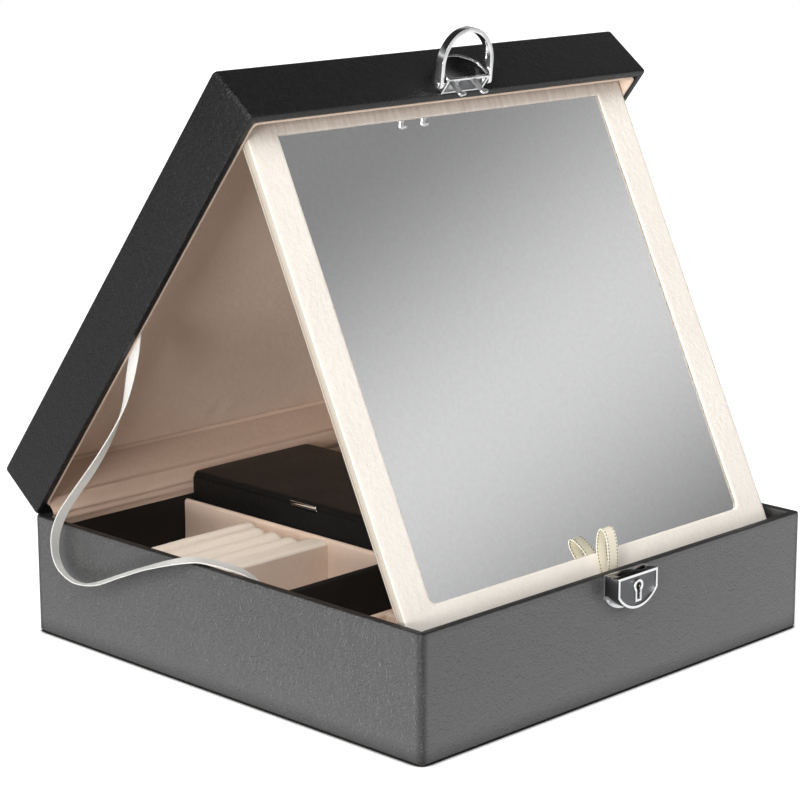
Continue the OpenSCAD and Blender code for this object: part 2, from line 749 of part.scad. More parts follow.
// A flat hook: the shank down from the carrier, its nose pointing to the right
module hook_profile() {
    nose = 1.5;
    difference() {
        union() {
            translate([-hook_w / 2, -hook_l + nose]) square([hook_w, hook_l - nose + 6]);
            translate([0, -hook_l + nose]) circle(hook_w / 2 + 0.3);
            translate([0, -hook_l + nose - 1.2]) square([hook_w / 2 + 1.1, 1.8]);
            translate([hook_w / 2 + 1.1, -hook_l + nose - 0.3]) circle(0.9);
        }
        translate([hook_w / 2 + 0.5, -hook_l + nose + 1.9]) circle(0.8);
    }
}

module ring_pins() color("#c9ccd0") on_lid_front()
    for (s = [-1, 1]) translate([s * (dee_w / 2 - sheet_t), -hook_depth, ring_pivot_z])
        rotate([0, s * 90, 0]) {
            translate([0, 0, -0.6]) cylinder(r = pin_r + 0.5, h = 0.6);
            cylinder(r = pin_r, h = ring_r - dee_w / 2 + sheet_t + 0.2);
            translate([0, 0, ring_r - dee_w / 2 + sheet_t + 0.2]) cylinder(r = pin_r + 0.5, h = 0.5);
        }

module hasp_ring() color("#e2e5e8") on_lid_front()
    translate([0, -hook_depth, ring_pivot_z]) rotate([ring_out, 0, 0])
    difference() {
        union() {
            translate([0, ring_band / 2, 0]) upright(ring_band) difference() {
                union() {
                    translate([0, ring_leg]) circle(ring_r, $fn = 96);
                    translate([-ring_r, 0]) square([2 * ring_r, ring_leg]);
                }
                translate([0, ring_leg]) circle(ring_r - ring_t, $fn = 96);
                translate([-ring_r + ring_t, -1]) square([2 * (ring_r - ring_t), ring_leg + 1]);
                translate([-ring_r, -ring_r]) square([2 * ring_r, ring_r]);
            }
            for (s = [-1, 1]) translate([s * (ring_r - ring_t / 2), 0, 0]) rotate([0, 90, 0])
                cylinder(r = ring_band / 2, h = ring_t, center = true);
        }
        rotate([0, 90, 0]) cylinder(r = pin_r + 0.1, h = 2 * ring_r + 4, center = true);
    }

// The end of the ribbon, glued to the lining of the lid's left wall
module stay_tab() color("#f3efe2") in_lid()
    translate([-in_x, -stay_tab_y, stay_tab_z]) rotate([-26, 0, 0])
        span([0, -stay_tab_l, -ribbon_w / 2], [ribbon_t, 0, ribbon_w / 2]);

// Mirror panel

module panel_outline(inset) {
    translate([0, panel_l / 2]) round_rect(panel_w - 2 * inset, panel_l - 2 * inset, 1.5);
}

module window_outline(grow) {
    w = window_w + 2 * grow;
    translate([-w / 2, border - grow]) difference() {
        square([w, window_l + 2 * grow]);
        if (grow == 0)
            for (s = [0, 1]) translate([s * w, window_l]) mirror([s, 0])
                difference() {
                    translate([-1, -window_r]) square([window_r + 1, window_r + 1]);
                    translate([window_r, -window_r]) circle(window_r);
                }
    }
}

module mirror_frame() color("#f4e9df") in_panel() difference() {
    linear_extrude(frame_t) panel_outline(0);
    translate([0, 0, -1]) linear_extrude(frame_t + 2) window_outline(0);
    translate([0, 0, lip_t]) linear_extrude(frame_t) window_outline(rebate);
    // Clears the velvet roll at the hinge
    rotate([0, 90, 0]) cylinder(r = bead_r + clear, h = panel_w + 2, center = true);
}

module mirror_glass() color("#c4cbd0") in_panel() translate([0, border - rebate + seat, lip_t])
    linear_extrude(glass_t) translate([-window_w / 2 - rebate + seat, 0])
        square([window_w + 2 * (rebate - seat), window_l + 2 * (rebate - seat)]);

module mirror_backboard() color("#efe3d8") in_panel() difference() {
    translate([0, 0, frame_t]) linear_extrude(back_t) panel_outline(0);
    translate([0, keeper_y, frame_t - 1]) cylinder(r = magnet_r + seat / 2, h = back_t + 0.4);
}

keeper_y = pivot_y - magnet_y;

// The steel disc that the magnet in the lid holds
module mirror_keeper() color("#9a9da1") in_panel()
    translate([0, keeper_y, frame_t]) cylinder(r = magnet_r, h = back_t - 0.6);

module pull_loop() color("#f3ecd2") in_panel() {
    p = smooth([for (q = loop_route) [loop_x, panel_l - q[0], -q[1]]], 2);
    strap(p, [for (q = p) [1, 0, 0]], ribbon_w, ribbon_t);
}

// Travel case, loose in the middle of the base

module case_block(inset, z0, z1) {
    translate([(case_x0 + case_x1) / 2, (case_y0 + case_y1) / 2, 0])
        block(case_w - 2 * inset, case_l - 2 * inset, max(3 - inset, 0.8), z0, z1);
}

module case_shell() color("#242323") difference() {
    case_block(0, case_z0, cover_z0 - seat);
    case_block(case_wall, case_z0 + case_wall, case_top);
    translate([case_x1, 0, cover_z0]) rotate([90, 0, 0])
        cylinder(r = 1.2 + clear, h = 2 * box_d, center = true);
    translate([case_roll_x, 0, case_roll_z]) rotate([90, 0, 0])
        cylinder(r = case_roll_r + seat, h = 2 * box_d, center = true);
    span([case_x0 - 1, clasp_y - clasp_l / 2 - 0.2, cover_z0 - 2.2],
        [case_x0 + 0.6, clasp_y + clasp_l / 2 + 0.2, cover_z0 + 1]);
}

module case_lining() color("#e7d6ca") difference() {
    case_block(case_wall + seat, case_z0 + case_wall, cover_z0 - 2);
    case_block(case_wall + seat + lining, case_z0 + case_wall + lining, case_top);
}

// The striker plate of the clasp, let into the case below the cover
module case_catch() color("#cfd2d6")
    span([case_x0, clasp_y - clasp_l / 2, cover_z0 - 2], [case_x0 + 0.6,
        clasp_y + clasp_l / 2, cover_z0 - 2 * clear]);

module case_hinge_roll() color("#1f1e1e") difference() {
    translate([case_roll_x, (case_y0 + case_y1) / 2, case_roll_z]) rotate([90, 0, 0])
        cylinder(r = case_roll_r, h = case_l - 8, center = true);
    span([case_x1, -box_d, 0], [box_w, box_d, base_h * 2]);
}

module case_cover() color("#201f1f") difference() {
    case_block(0, cover_z0, cover_z0 + cover_t * 0.6);
    translate([case_x1, 0, cover_z0 - 0.6]) rotate([90, 0, 0])
        cylinder(r = 1, h = 2 * box_d, center = true);
}

module case_cover_pad() color("#262424") {
    case_block(0, cover_z0 + cover_t * 0.6, case_top - 0.5);
    case_block(1.2, cover_z0 + cover_t * 0.6, case_top);
}

// The clasp, a thin plate along the left edge of the cover
module case_clasp() color("#dfe2e5") {
    span([case_x0 - 0.25, clasp_y - clasp_l / 2, cover_z0],
        [case_x0, clasp_y + clasp_l / 2, cover_z0 + 1.4]);
}

base_carcass();
base_leather();
base_bottom_sheet();
base_liner();
floor_lining();
hinge_cloth();
hinge_spine();
long_divider_left();
long_divider_right();
ring_roll_block();
black_partition();
right_partitions();
front_cross_wall();
front_dividers();
front_cushion();
mirror_rest();
stay_ribbon();
lock_case();
lock_face();
keyhole_escutcheon();
lock_backplate();
lock_rivets();
lock_bolt();
lid_carcass();
lid_leather();
lid_wall_lining();
lid_lining_panel();
lid_magnet();
lid_spine();
mirror_hinge_cloth();
hasp_cap();
hasp_backplate();
hasp_hooks();
hasp_rivets();
ring_pins();
stay_tab();
mirror_frame();
mirror_glass();
mirror_backboard();
mirror_keeper();
pull_loop();
hasp_ring();
case_shell();
case_lining();
case_catch();
case_hinge_roll();
case_cover();
case_cover_pad();
case_clasp();
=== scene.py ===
import bpy
import bmesh
import json
import math
import numpy as np
from mathutils import Matrix, Vector, noise


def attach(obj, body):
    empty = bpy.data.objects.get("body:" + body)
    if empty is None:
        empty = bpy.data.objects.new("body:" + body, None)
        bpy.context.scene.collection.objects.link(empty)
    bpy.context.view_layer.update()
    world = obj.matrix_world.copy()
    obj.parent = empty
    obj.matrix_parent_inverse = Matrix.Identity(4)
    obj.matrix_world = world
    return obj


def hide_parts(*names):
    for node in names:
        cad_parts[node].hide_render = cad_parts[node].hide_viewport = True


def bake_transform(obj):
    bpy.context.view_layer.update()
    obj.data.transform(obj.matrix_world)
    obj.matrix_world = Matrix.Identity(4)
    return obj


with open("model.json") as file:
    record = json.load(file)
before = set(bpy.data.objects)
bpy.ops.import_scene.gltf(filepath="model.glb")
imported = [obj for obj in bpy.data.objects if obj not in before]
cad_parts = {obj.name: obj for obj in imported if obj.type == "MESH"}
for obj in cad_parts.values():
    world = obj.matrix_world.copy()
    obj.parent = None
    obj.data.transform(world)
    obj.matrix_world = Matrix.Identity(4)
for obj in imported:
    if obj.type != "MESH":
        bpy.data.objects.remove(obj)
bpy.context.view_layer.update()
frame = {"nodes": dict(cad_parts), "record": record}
NODES = frame["nodes"]
BODY_OF = {n: b for b, ns in frame["record"]["behaviour"]["bodies"].items() for n in ns}
MM = 0.001

# Sizes repeated from the part, in millimetres and degrees
BOX_W, BOX_D, BASE_H, LID_H = 270.0, 268.0, 60.0, 30.5
LID_OPEN, SWING = 52.15, 63.54407
WALL, IN_X, SKIN_R = 4.5, 129.2, 2.5
LID_PAD_Z, PIVOT_Y, PIVOT_Z = 23.3, 261.5, 18.5
PANEL_W, PANEL_L = 257.0, 255.0
WINDOW_W, WINDOW_FOOT, WINDOW_TOP = 218.0, 19.5, 238.0
RIBBON_W, RIBBON_T = 7.0, 0.5
LID = Matrix.Translation((0, BOX_D / 2, BASE_H)) @ Matrix.Rotation(math.radians(-LID_OPEN), 4, "X")
PANEL = LID @ Matrix.Translation((0, -PIVOT_Y, PIVOT_Z)) @ Matrix.Rotation(math.radians(-SWING), 4, "X")
HERE = Matrix.Identity(4)

# Camera, fitted to the corners of the box in the photograph

cam_data = bpy.data.cameras.new("camera")
cam = bpy.data.objects.new("camera", cam_data)
bpy.context.scene.collection.objects.link(cam)
right = Vector((0.703346, -0.710843, -0.002554))
up = Vector((0.165330, 0.160091, 0.973158))
back = Vector((-0.691354, -0.684889, 0.230123))
cam.matrix_world = Matrix((
    (right.x, up.x, back.x, -0.877964),
    (right.y, up.y, back.y, -0.857338),
    (right.z, up.z, back.z, 0.407968),
    (0, 0, 0, 1)))
cam_data.sensor_width = 36
cam_data.lens = 115.37
cam_data.clip_start = 0.05
cam_data.clip_end = 20
bpy.context.scene.camera = cam


# Materials

class Nodes:
    """A node tree that is built by short calls."""

    def __init__(self, tree):
        self.nt = tree

    def node(self, kind, **inputs):
        n = self.nt.nodes.new(kind)
        for k, v in inputs.items():
            if k.startswith("_"):
                setattr(n, k[1:], v)
            else:
                self.put(n.inputs[k.replace("_", " ")], v)
        return n

    def put(self, socket, v):
        if isinstance(v, bpy.types.NodeSocket):
            self.nt.links.new(v, socket)
        else:
            socket.default_value = v

    def coords(self, kind="Object"):
        return self.node("ShaderNodeTexCoord").outputs[kind]

    def noise(self, scale, detail=2, rough=0.5, vector=None, distortion=0.0):
        n = self.node("ShaderNodeTexNoise", Scale=scale, Detail=detail, Roughness=rough,
                      Distortion=distortion)
        self.put(n.inputs["Vector"], vector or self.coords())
        return n.outputs["Fac"]

    def voronoi(self, scale):
        return self.node("ShaderNodeTexVoronoi", Scale=scale, Vector=self.coords()).outputs["Distance"]

    def math(self, op, a, b=0.0):
        n = self.node("ShaderNodeMath", _operation=op)
        self.put(n.inputs[0], a)
        self.put(n.inputs[1], b)
        return n.outputs[0]

    def weighted(self, a, ka, b, kb):
        """a * ka + b * kb"""
        return self.math("ADD", self.math("MULTIPLY", a, ka), self.math("MULTIPLY", b, kb))

    def hypot(self, a, b):
        return self.math("SQRT", self.math("ADD", self.math("MULTIPLY", a, a), self.math("MULTIPLY", b, b)))

    def wave(self, along, pitch):
        return self.math("SINE", self.math("MULTIPLY", along, 2 * math.pi / pitch))

    def ramp(self, fac, *stops, interpolation="LINEAR"):
        """A colour ramp of (position, colour); a plain number is a grey."""
        n = self.node("ShaderNodeValToRGB", Fac=fac)
        n.color_ramp.interpolation = interpolation
        e = n.color_ramp.elements
        while len(e) < len(stops):
            e.new(0.5)
        for el, (p, c) in zip(e, stops):
            el.position = p
            el.color = (c, c, c, 1) if isinstance(c, float) else (*c, 1)
        return n.outputs["Color"]

    def span(self, fac, lo, hi, a, b):
        n = self.node("ShaderNodeMapRange", _clamp=True)
        for i, v in enumerate((fac, lo, hi, a, b)):
            self.put(n.inputs[i], v)
        return n.outputs[0]

    def mix_color(self, fac, a, b):
        n = self.node("ShaderNodeMix", _data_type="RGBA")
        for socket, v in ((n.inputs["Factor"], fac), (n.inputs[6], a), (n.inputs[7], b)):
            self.put(socket, v)
        return n.outputs[2]

    def mix_shader(self, fac, a, b):
        n = self.node("ShaderNodeMixShader")
        for i, v in enumerate((fac, a, b)):
            self.put(n.inputs[i], v)
        return n.outputs[0]

    def bump(self, height, strength, distance, normal=None):
        n = self.node("ShaderNodeBump", Strength=strength, Distance=distance, Height=height)
        if normal is not None:
            self.put(n.inputs["Normal"], normal)
        return n.outputs["Normal"]


class Mat(Nodes):
    """A material with a Principled shader."""

    def __init__(self, name):
        self.mat = bpy.data.materials.new(name)
        self.mat.use_nodes = True
        super().__init__(self.mat.node_tree)
        self.bsdf = next(n for n in self.nt.nodes if n.type == "BSDF_PRINCIPLED")

    def set(self, **kw):
        for k, v in kw.items():
            self.put(self.bsdf.inputs[k.replace("_", " ")], v)

    def surface(self, shader):
        out = next(n for n in self.nt.nodes if n.type == "OUTPUT_MATERIAL")
        self.put(out.inputs["Surface"], shader)


# Lengths in the materials are in metres
NOOK = 0.011
EDGE_SHADED, EDGE_UNSHADED = 0.0012, 0.0042
PEBBLE_DEPTH, CREASE_DEPTH = 0.00042, 0.0011
PILE_DEPTH, TUFT_DEPTH = 0.00025, 0.0006
RIB_PITCH, RIB_DEPTH = 0.00062, 0.00012
DASH_PITCH, DASH_AT, DASH_HALF = 0.0016, 0.42, 0.036
THREAD = (0.10, 0.06, 0.02, 1)


def leather(name, dark, light, rough, grain=1.0, spec=0.5, coat=0.0, pebble=1150, shade=0.0, ior=1.5,
            edges=None):
    """Pebbled leatherette; shade is how far ambient occlusion takes the gloss away in narrow corners, painted
    shade, and edges=(x, y) gives the half width and depth of a box whose upright edges and rim lose gloss,
    painted shade."""
    m = Mat(name)
    broad = m.noise(28, 3, 0.55)
    fine = m.noise(pebble, 3, 0.6)
    cells = m.voronoi(pebble * 0.9)
    crease = m.noise(pebble * 0.3, 3, 0.62, distortion=0.8)
    gloss = spec
    # Painted shade: ambient occlusion lowers the gloss and coat in narrow corners
    if shade:
        nook = m.node("ShaderNodeAmbientOcclusion", Distance=NOOK).outputs["AO"]
        gloss = m.span(nook, 0.42, 0.95, spec * (1 - shade), spec)
        coat = m.span(nook, 0.42, 0.95, coat * (1 - shade), coat)
    # Painted shade: the gloss and coat drop near the box's upright edges and on faces turned up at the rim
    if edges:
        at = m.node("ShaderNodeSeparateXYZ", Vector=m.coords())
        way = m.node("ShaderNodeSeparateXYZ", Vector=m.coords("Normal"))
        dx = m.math("SUBTRACT", m.math("ABSOLUTE", at.outputs["X"]), edges[0])
        dy = m.math("SUBTRACT", m.math("ABSOLUTE", at.outputs["Y"]), edges[1])
        upright = m.span(m.hypot(dx, dy), EDGE_SHADED, EDGE_UNSHADED, 0.35, 1.0)
        rim = m.span(way.outputs["Z"], 0.5, 0.92, 1.0, 0.12)
        dull = m.math("MULTIPLY", upright, rim)
        gloss, coat = m.math("MULTIPLY", gloss, dull), m.math("MULTIPLY", coat, dull)
    m.set(Base_Color=m.ramp(m.weighted(broad, 0.6, fine, 0.4), (0.3, dark), (0.75, light)),
          Roughness=m.span(m.weighted(fine, 0.5, broad, 0.5), 0.3, 0.7, rough - 0.05, rough + 0.07),
          Specular_IOR_Level=gloss, Coat_Weight=coat, Coat_Roughness=0.34, IOR=ior)
    pebbles = m.bump(m.weighted(fine, 1.0, cells, 0.8), 0.9 * grain, PEBBLE_DEPTH)
    m.set(Normal=m.bump(crease, 0.8 * grain, CREASE_DEPTH, pebbles))
    return m.mat


def velvet(name, low, high, sheen=0.35, pile=2600, nap=0.35, fold=None):
    """Short velvet; fold gives the colour and the length of painted shade beside the mirror's hinge, in streaks.
    """
    m = Mat(name)
    brushed = m.noise(16, 3, 0.6, distortion=0.6)
    speck = m.noise(pile * 0.5, 2, 0.7)
    color = m.ramp(m.weighted(brushed, 0.45, speck, 0.55), (0.3, low), (0.7, high))
    if fold:
        # Painted shade: the colour darkens in streaks towards the mirror's hinge
        hinge_shade_color, hinge_shade_reach = fold
        shifted = m.node("ShaderNodeVectorMath", _operation="SUBTRACT")
        m.put(shifted.inputs[0], m.coords())
        m.put(shifted.inputs[1], tuple(PANEL.translation * MM))
        away = m.node("ShaderNodeVectorMath", _operation="DOT_PRODUCT")
        m.put(away.inputs[0], shifted.outputs["Vector"])
        m.put(away.inputs[1], tuple(PANEL.to_3x3() @ Vector((0, 1, 0))))
        squeeze = m.node("ShaderNodeMapping", Vector=m.coords(), Scale=(1.0, 0.06, 0.06))
        streak = m.noise(420, 3, 0.6, vector=squeeze.outputs["Vector"])
        edge = m.weighted(away.outputs["Value"], 1.0 / hinge_shade_reach, m.math("SUBTRACT", streak, 0.5), 0.5)
        color = m.mix_color(m.ramp(edge, (0.1, 0.0), (0.9, 1.0)), (*hinge_shade_color, 1), color)
    m.set(Base_Color=color, Roughness=0.92, Specular_IOR_Level=0.15,
          Sheen_Weight=sheen, Sheen_Roughness=0.45, Sheen_Tint=(1.0, 0.93, 0.87, 1))
    fine = m.bump(m.noise(pile, 2, 0.7), nap, PILE_DEPTH)
    m.set(Normal=m.bump(m.noise(pile * 0.12, 2, 0.6), nap, TUFT_DEPTH, fine))
    return m.mat


def metal(name, color, rough, grain=0.04):
    """Metal with slightly uneven polish; grain 0 is a flawless mirror."""
    m = Mat(name)
    n = m.noise(420, 4, 0.65)
    m.set(Base_Color=m.ramp(n, (0.2, tuple(c * 0.9 for c in color)), (0.8, color)), Metallic=1.0,
          Roughness=m.span(n, 0.3, 0.7, rough, rough + grain))
    if grain:
        m.set(Normal=m.bump(m.noise(300, 2, 0.5), 0.02, 0.0002))
    return m.mat


def ribbon_mat(name, low, high, stitched):
    """Ribbed ribbon that lets some light through; stitched adds dashes of thread along both edges."""
    m = Mat(name)
    uv = m.node("ShaderNodeSeparateXYZ", Vector=m.coords("UV"))
    along, across = uv.outputs["X"], uv.outputs["Y"]
    ribs = m.wave(along, RIB_PITCH)
    fleck = m.noise(1700, 2, 0.7)
    color = m.ramp(m.weighted(fleck, 0.6, ribs, 0.14), (0.15, low), (0.5, high))
    if stitched:
        edge = m.math("ABSOLUTE", m.math("SUBTRACT", across, 0.5))
        dash = m.math("GREATER_THAN", m.wave(along, DASH_PITCH), 0.05)
        near = m.math("LESS_THAN", m.math("ABSOLUTE", m.math("SUBTRACT", edge, DASH_AT)), DASH_HALF)
        color = m.mix_color(m.math("MULTIPLY", dash, near), color, THREAD)
    weave = m.bump(m.weighted(ribs, 1.0, fleck, 0.7), 0.35, RIB_DEPTH)
    m.set(Base_Color=color, Roughness=0.62, Specular_IOR_Level=0.3, Sheen_Weight=0.25, Sheen_Roughness=0.4,
          Normal=weave)
    through = m.node("ShaderNodeBsdfTranslucent", Color=color, Normal=weave)
    m.surface(m.mix_shader(0.42, m.bsdf.outputs[0], through.outputs[0]))
    return m.mat


M = {
    # base_leather and lid_leather are one black leatherette in two copies: the base's is lighter and far
    # glossier, the lid's darker, painted light and shade
    "base_leather": leather("base_leather", (0.016, 0.016, 0.0165), (0.028, 0.028, 0.029), 0.42, 1.0, 1.0, 0.8,
                            shade=0.75, ior=1.62, edges=(BOX_W / 2 * MM, BOX_D / 2 * MM)),
    "lid_leather": leather("lid_leather", (0.005, 0.005, 0.005), (0.0085, 0.0085, 0.0088), 0.42, 0.8, 0.36, 0.10,
                           shade=0.6),
    "case_leather": leather("case_leather", (0.0045, 0.0045, 0.0045), (0.008, 0.008, 0.008), 0.42, 0.3, 0.14,
                            pebble=1500),
    "black_cloth": leather("black_cloth", (0.006, 0.006, 0.006), (0.010, 0.010, 0.010), 0.8, 1.0, 0.2),
    "black_velvet": velvet("black_velvet", (0.011, 0.0095, 0.0085), (0.020, 0.017, 0.015), 0.05, 2400, 0.3),
    # Cream velvet of the mirror's frame and hinge, with painted shade beside the hinge
    "velvet": velvet("cream_velvet", (0.775, 0.72, 0.655), (0.88, 0.83, 0.77), 0.12, nap=0.55,
                     fold=((0.27, 0.165, 0.115), 0.026)),
    # A darker copy of the cream velvet for the panel's left side: painted shade
    "velvet_side": velvet("cream_velvet_shaded_side", (0.40, 0.36, 0.305), (0.50, 0.455, 0.395), 0.1),
    # The cream velvet made darker and pinker for the box's insides: painted shade
    "velvet_in": velvet("cream_velvet_shaded_inside", (0.71, 0.545, 0.435), (0.83, 0.665, 0.55), 0.1),
    # A lighter copy of the cream velvet for faces turned up on the ring rolls: painted light
    "velvet_rolls": velvet("cream_velvet_lit_tops", (0.87, 0.765, 0.65), (0.96, 0.875, 0.775), 0.15),
    # A darker copy of the cream velvet for the strip over the hinge: painted shade
    "velvet_strip": velvet("cream_velvet_shaded_strip", (0.53, 0.39, 0.305), (0.64, 0.485, 0.39), 0.08),
    "seam": velvet("seam_thread", (0.26, 0.17, 0.11), (0.38, 0.26, 0.18), 0.0),
    "board": leather("board", (0.30, 0.21, 0.11), (0.38, 0.27, 0.15), 0.8, 0.6, 0.2),
    "chrome": metal("chrome", (0.94, 0.945, 0.95), 0.10),
    # A dark copy of the chrome for the lock's sides and the hasp's recessed face: painted dark reflection
    "chrome_painted_shade": metal("chrome_painted_shade", (0.16, 0.16, 0.165), 0.16),
    "satin": metal("satin_chrome", (0.95, 0.95, 0.955), 0.38),
    "dull_chrome": metal("dull_chrome", (0.80, 0.81, 0.82), 0.30),
    "lock_grey": metal("lock_grey", (0.16, 0.163, 0.17), 0.42),
    "brass": metal("bolt_brass", (0.13, 0.10, 0.06), 0.35),
    "steel": metal("plain_steel", (0.45, 0.46, 0.48), 0.3),
    "mirror": metal("mirror_silver", (0.955, 0.958, 0.96), 0.0, 0.0),
    "ribbon": ribbon_mat("stay_ribbon", (0.95, 0.945, 0.92), (1.0, 1.0, 0.985), False),
    "loop": ribbon_mat("loop_ribbon", (0.95, 0.90, 0.76), (1.0, 0.985, 0.92), True),
}


# Mesh helpers

WELD = 2e-6

def piece(name, verts, faces, material, body, xf=HERE, sharp=35, uvs=None, slot=None, ride=True):
    """A mesh from points in millimetres, put in place by xf."""
    me = bpy.data.meshes.new(name)
    pts = [(xf @ Vector(v)) * MM for v in verts]
    me.from_pydata([tuple(p) for p in pts], [], faces)
    me.validate()
    if uvs:
        layer = me.uv_layers.new(name="UVMap")
        for loop in me.loops:
            layer.data[loop.index].uv = uvs[loop.vertex_index]
    me.materials.append(material)
    me.shade_smooth()
    me.set_sharp_from_angle(angle=math.radians(sharp))
    me.update()
    ob = bpy.data.objects.new(name, me)
    bpy.context.scene.collection.objects.link(ob)
    if ride:
        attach(ob, body)
    return ob


def fix_normals(ob):
    """Turns the faces outwards."""
    bm = bmesh.new()
    bm.from_mesh(ob.data)
    bmesh.ops.recalc_face_normals(bm, faces=bm.faces)
    bm.to_mesh(ob.data)
    bm.free()
    return ob


def dress(node, material, bevel=0.3, segments=2, other=None, where=None):
    """Stands in for a CAD node: its own shape with softened edges. Faces that where() picks by centre,
    normal and area in millimetres take the other material."""
    me = NODES[node].data.copy()
    me.name = node + "_look"
    bm = bmesh.new()
    bm.from_mesh(me)
    bmesh.ops.remove_doubles(bm, verts=bm.verts, dist=WELD)
    bmesh.ops.dissolve_limit(bm, angle_limit=math.radians(1.5), verts=bm.verts, edges=bm.edges,
                             delimit=set())
    edges = [e for e in bm.edges if len(e.link_faces) == 2 and e.calc_face_angle(0) > math.radians(40)]
    bmesh.ops.bevel(bm, geom=edges, offset=bevel * MM, segments=segments, affect="EDGES",
                    clamp_overlap=True, profile=0.5)
    bmesh.ops.recalc_face_normals(bm, faces=bm.faces)
    bm.to_mesh(me)
    bm.free()
    me.materials.clear()
    me.materials.append(material)
    if other:
        me.materials.append(other)
    for p in me.polygons:
        p.material_index = 1 if other and where(p.center / MM, p.normal, p.area / MM ** 2) else 0
    me.shade_smooth()
    me.set_sharp_from_angle(angle=math.radians(38))
    ob = bpy.data.objects.new(node + "_look", me)
    bpy.context.scene.collection.objects.link(ob)
    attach(ob, BODY_OF[node])
    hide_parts(node)
    return ob


def paint(node, material):
    """Gives a CAD node that is shown as it is its material."""
    ob = NODES[node]
    for s in ob.material_slots:
        s.material = material
    if not ob.material_slots:
        ob.data.materials.append(material)


def corner_loop(x0, x1, y0, y1, radii, n=6):
    """Points round a rectangle, anticlockwise from +x +y, each corner with its radius."""
    out = []
    spec = [(x1, y1, -1, -1, 0), (x0, y1, 1, -1, 90), (x0, y0, 1, 1, 180), (x1, y0, -1, 1, 270)]
    for (cx, cy, sx, sy, a0), r in zip(spec, radii):
        for k in range(n + 1):
            a = math.radians(a0 + 90 * k / n)
            out.append((cx + sx * r + r * math.cos(a), cy + sy * r + r * math.sin(a)))
    return out


def rings(loops):
    """Verts and quads through closed loops of the same length, each a list of 3-D points."""
    n = len(loops[0])
    verts = [p for l in loops for p in l]
    faces = []
    for i in range(len(loops) - 1):
        for k in range(n):
            a, b = i * n + k, i * n + (k + 1) % n
            faces.append((a, b, b + n, a + n))
    return verts, faces


def grid(nx, ny, flip=False):
    """Quads between ny rows of nx points."""
    quads = [(j * nx + i, j * nx + i + 1, (j + 1) * nx + i + 1, (j + 1) * nx + i)
             for j in range(ny - 1) for i in range(nx - 1)]
    return [(a, d, c, b) for a, b, c, d in quads] if flip else quads


def shell(name, w, d, r, profile, material, body, xf=HERE, centre=(0, 0), cap=False, **kw):
    """A profile of (inset, height) swept round a rectangle with round corners; cap closes its end."""
    loops = []
    for inset, z in profile:
        rr = max(r - inset, 0.35)
        pts = corner_loop(centre[0] - w / 2 + inset, centre[0] + w / 2 - inset,
                          centre[1] - d / 2 + inset, centre[1] + d / 2 - inset, (rr,) * 4)
        loops.append([(x, y, z) for x, y in pts])
    verts, faces = rings(loops)
    if cap:
        faces.append(tuple(range(len(verts) - 1, len(verts) - len(loops[0]) - 1, -1)))
    return fix_normals(piece(name, verts, faces, material, body, xf, **kw))


def smooth(p, n=4):
    """Catmull-Rom through points of any dimension."""
    p = [np.array(v, float) for v in p]
    out = []
    for i in range(len(p) - 1):
        a, b, c, d = p[max(i - 1, 0)], p[i], p[i + 1], p[min(i + 2, len(p) - 1)]
        for k in range(n):
            t = k / n
            out.append(0.5 * (2 * b + (c - a) * t + (2 * a - 5 * b + 4 * c - d) * t * t
                              + (3 * b - a - 3 * c + d) * t ** 3))
    out.append(p[-1])
    return out


def strap(name, route, widths, material, body, xf=HERE, curl=0.0, **kw):
    """A ribbon along route with its width along the given directions; u runs along it in metres."""
    n, cols = len(route), 5
    verts, uvs, s = [], [], 0.0
    for i in range(n):
        t = route[min(i + 1, n - 1)] - route[max(i - 1, 0)]
        t /= np.linalg.norm(t)
        w = widths[i] - (widths[i] @ t) * t
        w /= np.linalg.norm(w)
        u = np.cross(t, w)
        if i:
            s += np.linalg.norm(route[i] - route[i - 1])
        for side, columns in ((RIBBON_T / 2, range(cols)), (-RIBBON_T / 2, reversed(range(cols)))):
            for j in columns:
                q = j / (cols - 1) - 0.5
                verts.append(tuple(route[i] + w * RIBBON_W * q + u * (side + curl * (4 * q * q - 0.33))))
                uvs.append((s * MM, q + 0.5))
    m = 2 * cols
    faces = [(i * m + k, i * m + (k + 1) % m, (i + 1) * m + (k + 1) % m, (i + 1) * m + k)
             for i in range(n - 1) for k in range(m)]
    faces += [tuple(range(m - 1, -1, -1)), tuple(range((n - 1) * m, n * m))]
    ob = piece(name, verts, faces, material, body, xf, sharp=50, uvs=uvs, **kw)
    return fix_normals(ob), s * MM


# Ribbon stay: points as (right of the box's left side, in front of its back, above the base's rim),
# each with the direction of the ribbon's width

